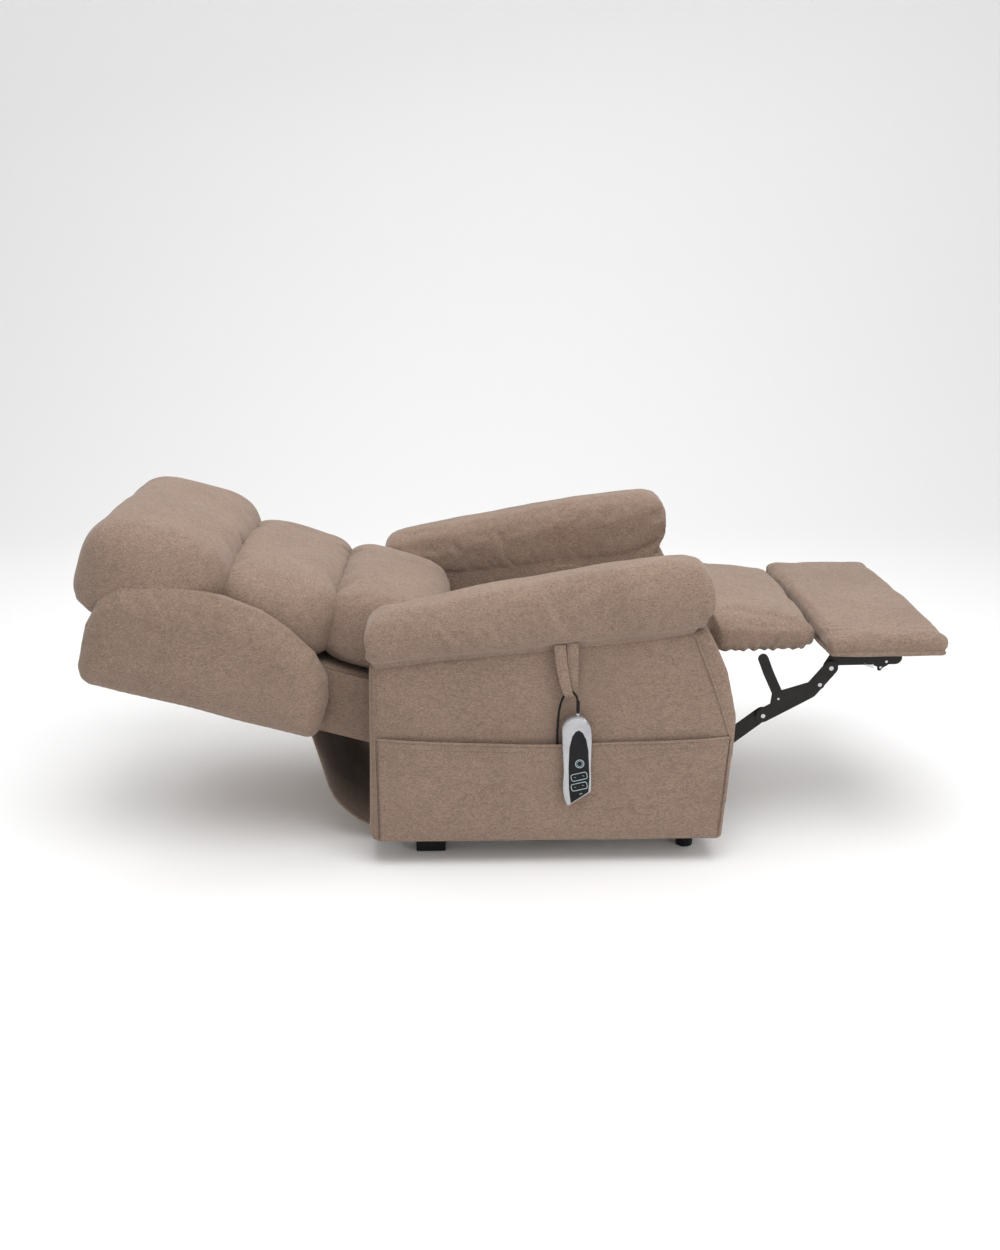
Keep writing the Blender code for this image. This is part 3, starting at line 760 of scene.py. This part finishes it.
def build_arm_roll(name, side):
    """The stuffed top of an arm: its outer side swells past the panel and tucks into the seam below."""
    stations = 110
    bm = bmesh.new()
    grid = []
    for number in range(stations + 1):
        share = (1 - cos(pi * number / stations)) / 2
        x = ROLL_CREST[0][0] + (ROLL_CREST[-1][0] - ROLL_CREST[0][0]) * share
        grid.append([bm.verts.new((x, side * y, z)) for y, z in roll_section(x)])
    skin(bm, grid)
    for loop in (grid[0], grid[-1]):
        close_end(bm, loop)
    bmesh.ops.recalc_face_normals(bm, faces=bm.faces)
    obj = link_mesh(f"arm_roll_{name}", bm, COVER)
    modified(obj, "REMESH", mode="VOXEL", voxel_size=0.0055)
    points = coordinates(obj)
    seam = np.interp(points[:, 0], *zip(*ROLL_SEAM))
    held = np.maximum(facing_weight(obj, (0.0, 0.0, -1.0), 0.5), points[:, 2] < seam)
    inflate(obj, held, pressure=2.0, cap=0.005, grow=0.03)
    soft_ripple(obj, 0.15, 0.0040, 5.0 * side)
    soft_ripple(obj, 0.045, 0.0010, 9.0 * side)
    refine(obj, COVER)
    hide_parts(f"arm_pad_{name}")
    place(obj, "carriage")
    steps = np.linspace(-0.286, 0.366, 60)
    line = [Vector((x, side * 0.3650, line_height(ROLL_SEAM, x) - 0.004)) for x in steps]
    place(tube(f"roll_seam_{name}", line, 0.0030, COVER), "carriage")


# The seam in front of a side panel, as (x, z), and the ends of the seams behind it.
FRONT_PIPING = ((0.371, 0.520), (0.417, 0.405), (0.448, 0.315), (0.458, 0.270), (0.4465, 0.062))
REAR_SEAM_HEIGHTS = (0.062, 0.448)


def build_side_panel(name, side):
    """The cloth-covered side of an arm, with border strips at both ends."""
    node = f"side_panel_{name}"
    obj = soft_copy(f"side_cover_{name}", node, 0.008, 0.001)
    soft_ripple(obj, 0.20, 0.0035, 8.0 * side, (1.0, 1.0, 0.6))
    refine(obj, COVER)
    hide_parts(node)
    place(obj, "carriage")
    low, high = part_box(node)
    face = low[1] if side < 0 else high[1]
    border = [Vector((x, face + side * 0.01, z)) for x, z in FRONT_PIPING]
    line = laid_on(obj, even_steps(catmull_rom(border, 8), 0.010), 0.0006)
    place(tube(f"front_piping_{name}", line, 0.0028, COVER), "carriage")
    rear = [Vector((low[0] + 0.020, face + side * 0.01, z)) for z in REAR_SEAM_HEIGHTS]
    line = laid_on(obj, even_steps(rear, 0.010), 0.0004)
    place(tube(f"rear_piping_{name}", line, 0.0018, COVER), "carriage")
    for number, inset in enumerate((0.010, 0.027)):
        row = [Vector((low[0] + inset, face + side * 0.01, z)) for z in REAR_SEAM_HEIGHTS]
        row = laid_on(obj, even_steps(row, 0.010), 0.0005)
        place(stitches(f"rear_stitches_{name}_{number}", row, THREAD), "carriage")


# The slightly slack mouth of a pocket, as (x, z).
POCKET_MOUTH = (
    (-0.290, 0.2995), (-0.150, 0.2925), (0.000, 0.2870), (0.120, 0.2862), (0.300, 0.2905), (0.452, 0.2965),
)


def build_pocket(name, side):
    """A cloth pocket on the arm's side: a soft sheet with a hemmed, slightly slack mouth."""
    node = f"pocket_{name}"
    low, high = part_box(node)
    inner = high[1] if side < 0 else low[1]
    columns, rows = 120, 40
    bm = bmesh.new()
    grid = []
    for j in range(rows + 1):
        v = j / rows
        line = []
        for i in range(columns + 1):
            u = i / columns
            x = low[0] + (high[0] - low[0] - 0.018 * (1 - v)) * u
            top = line_height(POCKET_MOUTH, x)
            z = low[2] + (top - low[2]) * v
            edge = min(u, 1 - u) * 14
            belly = min(edge, 1.0) * min(v * 8, 1.0)
            wave = noise.noise(Vector((x * 9, z * 5 * side, 3.0))) * 0.0035 * v
            y = inner + side * (0.0015 + (0.0045 + 0.003 * v * sin(pi * u)) * belly) + side * wave * belly
            line.append(bm.verts.new((x, y, z)))
        grid.append(line)
    skin(bm, grid, closed=False)
    obj = link_mesh(f"pocket_cloth_{name}", bm, COVER)
    modified(obj, "SOLIDIFY", thickness=0.0024, offset=0.0)
    obj.data.shade_smooth()
    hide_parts(node)
    place(obj, "carriage")
    mouth = [mouth_point(low, high, inner, side, i / 60) for i in range(61)]
    place(tube(f"pocket_hem_{name}", mouth, 0.0030, COVER), "carriage")
    row = laid_on(obj, even_steps([p - Vector((0, 0, 0.016)) for p in mouth], 0.012), 0.0004)
    place(stitches(f"pocket_stitches_{name}", row, THREAD), "carriage")


def mouth_point(low, high, inner, side, u):
    """A point on the pocket's mouth."""
    x = low[0] + (high[0] - low[0]) * u
    z = line_height(POCKET_MOUTH, x)
    edge = min(min(u, 1 - u) * 14, 1.0)
    wave = noise.noise(Vector((x * 9, z * 5 * side, 3.0))) * 0.0035
    return Vector((x, inner + side * (0.0015 + (0.0045 + 0.003 * sin(pi * u) + wave) * edge), z))


def crowned_pad(name, outline, half, round_y, crown, rings=48):
    """A pad along Y from an (x, z) outline: its rim rounds over at both ends and its top swells a little."""
    loop = even_steps(closed_line([Vector((x, 0.0, z)) for x, z in outline]), 0.004)[:-1]
    centre = sum(loop, Vector()) / len(loop)
    bm = bmesh.new()
    grid = []
    for ring in range(1, rings):
        y = -half * cos(pi * ring / rings)
        past = max(abs(y) - (half - round_y), 0.0) / round_y
        keep = (1 - past**2) ** 0.5
        line = []
        for point in loop:
            offset = point - centre
            depth = round_y * (1 - keep)
            length = max(offset.length, 1e-6)
            flatter = max(1 - depth / crown, 0.12)
            shrunk = Vector((offset.x * (1 - depth / length * 0.9), 0, offset.z * flatter))
            lift = 0.004 * (1 - (y / half) ** 2) if offset.z > 0 else 0.0
            line.append(bm.verts.new(centre + shrunk + Vector((0, y, lift))))
        grid.append(line)
    skin(bm, grid)
    for line in (grid[0], grid[-1]):
        close_end(bm, line)
    bmesh.ops.recalc_face_normals(bm, faces=bm.faces)
    obj = link_mesh(name, bm, COVER)
    modified(obj, "REMESH", mode="VOXEL", voxel_size=0.0050)
    return obj


CALF_HALF_WIDTH = 0.2395  # clear of the links beside the pad
CALF_OUTLINE = (
    (0.432, 0.436), (0.550, 0.434), (0.640, 0.441), (0.656, 0.449), (0.663, 0.462), (0.663, 0.484),
    (0.655, 0.494), (0.640, 0.501), (0.550, 0.518), (0.432, 0.530),
)
BOARD_OUTLINE = (
    (0.676, 0.4475), (0.920, 0.4475), (0.927, 0.452), (0.9285, 0.462), (0.9285, 0.482), (0.924, 0.491),
    (0.914, 0.4965), (0.690, 0.4965), (0.676, 0.495), (0.668, 0.488), (0.667, 0.476), (0.668, 0.455),
)


def build_footrest_pads():
    """The calf pad, gathered under its rim, and the foot board in its wrapped cover."""
    calf = crowned_pad("calf_cover", CALF_OUTLINE, 0.2425, 0.034, 0.046)
    held = facing_weight(calf, (0.0, 0.0, -1.0), 0.6)
    inflate(calf, held, pressure=2.0, cap=0.006, grow=0.04)
    soft_ripple(calf, 0.09, 0.0035, 2.7)
    refine(calf, COVER)

    def gather(point, normal):
        rim = np.exp(-(((point[2] - 0.441) / 0.012) ** 2)) * max(min((0.30 - normal[2]) * 2, 1.0), 0.0)
        where = Vector((point[0] * 55, point[1] * 55, 2.0))
        pleats = sin(point[0] * 300 + 3 * noise.noise(where * 0.4))
        return rim * 0.0042 * (noise.noise(where) + 0.6 * pleats)

    move_along(calf, gather)
    points = coordinates(calf)
    points[:, 1] *= CALF_HALF_WIDTH / np.abs(points[:, 1]).max()
    set_coordinates(calf, points)
    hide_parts("calf_pad")
    place(calf, "calf_rest")
    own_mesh(calf)

    board = crowned_pad("foot_cover", BOARD_OUTLINE, 0.305, 0.020, 0.030)
    held = facing_weight(board, (0.0, 0.0, -1.0), 0.6)
    inflate(board, held, pressure=1.6, cap=0.004, grow=0.02)
    soft_ripple(board, 0.07, 0.0022, 6.1)
    refine(board, COVER)
    seam = [closed_line(rounded_loop((0.668, -0.304), (0.9285, 0.304), 0.4625, 0.018))]
    seam_groove(board, seam, 0.0050, 0.0050)
    for side in (-1, 1):
        folds(board, (0.690, side * 0.275, 0.497), (1.0, 0.0, 0.0), 0.035, 300.0, 0.0016)
    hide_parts("footboard")
    place(board, "footrest")


SEAT_SINK = 0.016  # how far the seat's top lies below that of its solid


def build_seat_cover():
    """The seat cushion: a crowned cover with one seam round its upper edge."""
    obj = soft_copy("seat_cover", "seat_cushion", 0.0065, 0.003)
    low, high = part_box("seat_cushion")
    thickness = high[2] - low[2]
    points = coordinates(obj)
    sink = np.clip((points[:, 2] - (low[2] + high[2]) / 2) / thickness * 2, 0, 1) * SEAT_SINK
    points[:, 2] -= sink
    set_coordinates(obj, points)
    rim = closed_line(rounded_loop(low, high, high[2] - SEAT_SINK - thickness * 0.18, 0.03))
    held = np.maximum(facing_weight(obj, (0, 0, -1), 0.9), seam_weight(obj, [rim], 0.008))
    inflate(obj, held, pressure=3.0, cap=0.008, grow=0.03)
    soft_ripple(obj, 0.12, 0.003, 1.9)
    refine(obj, COVER)
    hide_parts("seat_cushion")
    place(obj, "carriage")
    line = laid_on(obj, even_steps(rim, 0.012), 0.0006)
    place(tube("seat_piping", line, 0.0022, COVER, True), "carriage")


def rounded_loop(low, high, z, radius):
    """A rectangle with round corners at one height."""
    loop = []
    corners = ((high[0], high[1], 0), (low[0], high[1], 90), (low[0], low[1], 180), (high[0], low[1], 270))
    for x, y, start in corners:
        cx = x - radius if x == high[0] else x + radius
        cy = y - radius if y == high[1] else y + radius
        for step in range(7):
            angle = radians(start + 15 * step)
            loop.append(Vector((cx + radius * cos(angle), cy + radius * sin(angle), z)))
    return loop


SKIRT_HALF_WIDTH = 0.243
SKIRT_LINE = (
    (-0.444, 0, 0.262), (-0.425, 0, 0.190), (-0.398, 0, 0.110), (-0.350, 0, 0.055), (-0.305, 0, 0.034),
)


def build_skirt():
    """The cloth that hangs from the back's underside to the chair's rear edge."""
    spine = catmull_rom(SKIRT_LINE, 10)
    columns = 60
    half = SKIRT_HALF_WIDTH
    bm = bmesh.new()
    grid = []
    for j, point in enumerate(spine):
        v = j / (len(spine) - 1)
        line = []
        for i in range(columns + 1):
            y = -half + 2 * half * i / columns
            wave = 0.006 * sin(pi * v) * noise.noise(Vector((y * 7, v * 2.5, 1.0)))
            sag = -0.004 * sin(pi * v) * cos(y * 30)
            line.append(bm.verts.new((point.x + wave, y, point.z + wave + sag)))
        grid.append(line)
    skin(bm, grid, closed=False)
    obj = link_mesh("skirt_cloth", bm, COVER)
    modified(obj, "SOLIDIFY", thickness=0.0032, offset=0.0)
    obj.data.shade_smooth()
    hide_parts("rear_skirt")
    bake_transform(obj)


# Handset, cord and strap -----------------------------------------------------------------------------
# The cord's route, as in the CAD model: from the pocket's mouth to the handset.
CORD_ROUTE = (
    (0.0875, -0.3705, 0.2700), (0.0875, -0.3705, 0.2850), (0.0875, -0.3728, 0.3050),
    (0.0880, -0.3748, 0.3360), (0.0905, -0.3750, 0.3660), (0.0958, -0.3750, 0.3880),
    (0.1035, -0.3752, 0.4030), (0.1105, -0.3778, 0.4090), (0.1150, -0.3840, 0.4105),
    (0.1195, -0.3905, 0.4092), (0.1245, -0.3930, 0.4020), (0.1280, -0.3910, 0.3890),
    (0.1285, -0.3875, 0.3750), (0.1285, -0.3865, 0.3645),
)
CORD_DIAMETER = 0.0048


def build_cord():
    """The handset's cord: out of the pocket, over the strap's end and into the handset."""
    line = catmull_rom(CORD_ROUTE, 10)
    obj = tube("handset_cord_run", line, CORD_DIAMETER / 2, CORD, sides=4)
    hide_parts("handset_cord")
    place(obj, "carriage")


TAPE_DEPTH, TAPE_BOW = 0.0022, 0.0006
# Each leg of the strap: points along it, then shares of its length and its widths there.
STRAP_LEGS = (
    (
        ((0.0895, -0.3795, 0.5120), (0.0935, -0.3845, 0.4700), (0.1010, -0.3880, 0.4300),
         (0.1070, -0.3895, 0.4090), (0.1085, -0.3885, 0.4010)),
        ((0, 0.55, 0.85, 1.0), (0.0250, 0.0215, 0.0185, 0.0130)),
    ),
    (
        ((0.1165, -0.3760, 0.5150), (0.1170, -0.3790, 0.4700), (0.1180, -0.3812, 0.4350),
         (0.1195, -0.3815, 0.4150), (0.1180, -0.3812, 0.4020)),
        ((0, 0.55, 0.9, 1.0), (0.0255, 0.0190, 0.0135, 0.0110)),
    ),
)


def ribbon(bm, points, widths):
    """A flat tape along a smooth line through points, face-on to -Y."""
    line = catmull_rom(points, 10)
    rings = []
    for point, width in zip(line, np.interp(np.linspace(0, 1, len(line)), *widths)):
        ring = []
        for across, back in ((-1, False), (1, False), (1, True), (-1, True)):
            offset = TAPE_DEPTH / 2 if back else -TAPE_DEPTH / 2 - TAPE_BOW
            ring.append(bm.verts.new(point + Vector((across * width / 2, offset, 0))))
        rings.append(ring)
    skin(bm, rings)
    bm.faces.new(rings[0][::-1])
    bm.faces.new(rings[-1])


def build_strap():
    """A folded tape that holds the cord: two legs sewn under the arm roll, the left one lying in front."""
    bm = bmesh.new()
    for points, widths in STRAP_LEGS:
        ribbon(bm, points, widths)
    bmesh.ops.recalc_face_normals(bm, faces=bm.faces)
    obj = link_mesh("strap_ribbon", bm, COVER)
    modified(obj, "BEVEL", width=0.0007, segments=2)
    obj.data.shade_smooth()
    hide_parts("handset_strap")
    place(obj, "carriage")


KEY_TILT = radians(13)
BUTTON_CENTRE = (0.1335, 0.2530)
ROCKERS = (("back", "back_rocker", (0.1330, 0.2235)), ("lift", "lift_rocker", (0.1335, 0.2010)))


def key_outline(centre, half_length, half_height, y):
    """The rounded outline printed on a key, tilted as the keys are."""
    points = []
    for start, across in ((0, 1), (90, -1), (180, -1), (270, 1)):
        radius = min(half_height, 0.0045)
        cx = across * (half_length - radius)
        cz = (1 if start < 180 else -1) * (half_height - radius)
        for step in range(6):
            angle = radians(start + 18 * step)
            u, v = cx + radius * cos(angle), cz + radius * sin(angle)
            x = centre[0] + u * cos(KEY_TILT) - v * sin(KEY_TILT)
            z = centre[1] + u * sin(KEY_TILT) + v * cos(KEY_TILT)
            points.append(Vector((x, y, z)))
    return points


def build_handset_trim():
    """The light outlines and marks on the handset's keys, two light rings that paint the highlight on the
    power button's rim, and the boot where its cord enters.
    """
    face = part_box("rocker_back")[0][1] - 0.0001
    for name, body, centre in ROCKERS:
        line = key_outline(centre, 0.0168, 0.0078, face)
        place(tube(f"key_ring_{name}", line, 0.00085, PRINT_AND_HIGHLIGHT, True, 2), body)
        marks = bmesh.new()
        bar = Matrix.Rotation(radians(38) - KEY_TILT, 4, "Y") @ Matrix.Diagonal((0.0042, 0.0005, 0.0008, 1))
        for offset in (-0.0085, 0.0085):
            spot = Vector((centre[0] + offset, face, centre[1] + offset * 0.23))
            bmesh.ops.create_cube(marks, size=1.0, matrix=Matrix.Translation(spot) @ bar)
        place(link_mesh(f"key_marks_{name}", marks, PRINT_AND_HIGHLIGHT), body)
    # The two light rings round the power button are a painted highlight on its rim, in the print's colour.
    centre = Vector((BUTTON_CENTRE[0], face, BUTTON_CENTRE[1]))
    for number, (radius, thick) in enumerate(((0.0088, 0.0010), (0.0058, 0.0005))):
        ring = [centre + Vector((radius * cos(a * pi / 16), 0, radius * sin(a * pi / 16))) for a in range(32)]
        place(tube(f"button_rim_highlight_{number}", ring, thick, PRINT_AND_HIGHLIGHT, True, 2), "power_button")
    mark = bmesh.new()
    spot = Matrix.Translation((0.1375, -0.3954, 0.1835)) @ Matrix.Rotation(radians(-20), 4, "Y")
    bmesh.ops.create_cube(mark, size=1.0, matrix=spot @ Matrix.Diagonal((0.0055, 0.0006, 0.0018, 1)))
    place(link_mesh("handset_mark", mark, PRINT_AND_HIGHLIGHT), "carriage")
    route = catmull_rom(CORD_ROUTE, 10)
    boot = [p for p in route[-30:] if p.z < 0.392]
    place(tube("cord_boot", boot[:-2], 0.0036, CORD, sides=3), "carriage")


# Rivet heads by body: the plate's face from the middle, then each head's x, z and radius.
RIVETS = (
    ("front_links", 0.2569, (
        (0.548, 0.300, 0.0048), (0.668, 0.372, 0.0044), (0.690, 0.410, 0.0050), (0.579, 0.340, 0.0026),
    )),
    ("rear_links", 0.2489, ((0.480, 0.245, 0.0042),)),
    ("footrest", 0.2489, ((0.812, 0.4215, 0.0030), (0.800, 0.4085, 0.0028))),
)
HOOK_FACES = (0.2449, 0.2484)
HOOK_OUTLINE = (
    (0.776, 0.424), (0.786, 0.412), (0.794, 0.409), (0.795, 0.401), (0.801, 0.400), (0.806, 0.407),
    (0.816, 0.413), (0.824, 0.424), (0.838, 0.432), (0.838, 0.442), (0.776, 0.442),
)


def rivet(bm, x, y, z, radius, side):
    """A low rivet head on the face of a plate."""
    at = Matrix.Translation((x, y, z)) @ Matrix.Rotation(radians(90 * side), 4, "X")
    bmesh.ops.create_cone(
        bm, cap_ends=True, segments=20, radius1=radius, radius2=radius * 0.62, depth=0.0018, matrix=at
    )


def build_linkage_trim():
    """Rivets on the links, and the hook plate and its small spring under the foot board."""
    for name, side in SIDES:
        for body, face, points in RIVETS:
            bm = bmesh.new()
            for x, z, radius in points:
                rivet(bm, x, side * (face + 0.0006), z, radius, side)
            place(link_mesh(f"rivets_{body}_{name}", bm, PIN, smooth=False), body)
        bm = bmesh.new()
        slab(bm, *([(x, side * level, z) for x, z in HOOK_OUTLINE] for level in HOOK_FACES))
        place(link_mesh(f"hook_plate_{name}", bm, STEEL, smooth=False), "footrest")
        coil = []
        for step in range(90):
            share = step / 89
            angle = share * 2 * pi * 7
            x, z = 0.764 + 0.022 * share, 0.4165 - 0.0085 * share
            coil.append(Vector((x, side * (0.2465 + 0.0028 * cos(angle)), z + 0.0028 * sin(angle))))
        place(tube(f"hook_spring_{name}", coil, 0.0005, PIN, sides=2), "footrest")


def build_lining():
    """Black lining cloth inside the rear opening, between the skirt and the seat's frame."""
    bm = bmesh.new()
    line = ((-0.285, 0.300), (-0.292, 0.180), (-0.298, 0.070))
    rows = [[bm.verts.new((x, y, z)) for y in (-0.2600, 0.2600)] for x, z in line]
    skin(bm, rows, closed=False)
    obj = link_mesh("rear_lining", bm, LINING)
    modified(obj, "SOLIDIFY", thickness=0.0014)
    place(obj, "carriage")


# CAD nodes that keep their shape -----------------------------------------------------------------------
STEEL = dull(moulded("black_steel", (0.010, 0.0080, 0.0072), 0.5, 0.25, 0.0, 700.0), 0.25)
PIN = brushed_steel("pin_steel", (0.52, 0.52, 0.53), 0.34)
BLACK = dull(moulded("black_plastic", (0.004, 0.004, 0.005), 0.38, 0.2), 0.2)
SILVER = moulded("silver_plastic", (0.36, 0.36, 0.375), 0.24, 0.02, 0.75, 900.0, 0.4)
# Light print on the handset, also used for the painted rim highlight round its power button.
PRINT_AND_HIGHLIGHT = plain_material("light_print_and_highlight", (0.34, 0.42, 0.44), 0.5)
CORD = dull(moulded("cord_jacket", (0.004, 0.004, 0.004), 0.5, 0.1), 0.2)
WOOD = plywood("plywood")

FINISHES = {
    "frame_steel": STEEL,
    "pin_steel": PIN,
    "black_plastic": BLACK,
    "silver_plastic": SILVER,
    "plywood": WOOD,
}


def finish_cad_nodes():
    for row in frame["record"]["subparts"]:
        finish = FINISHES.get(row["material_slot"])
        if finish is None:
            continue
        node = frame["nodes"][row["node"]]
        node.data.materials.clear()
        node.data.materials.append(finish)


add_camera()
add_studio()
build_cord()
build_strap()
finish_cad_nodes()
build_back()
build_back_flaps()
for side_name, side_sign in SIDES:
    build_wing(side_name, side_sign)
    build_arm_roll(side_name, side_sign)
    build_side_panel(side_name, side_sign)
    build_pocket(side_name, side_sign)
build_seat_cover()
build_footrest_pads()
build_skirt()
build_lining()
build_linkage_trim()
build_handset_trim()
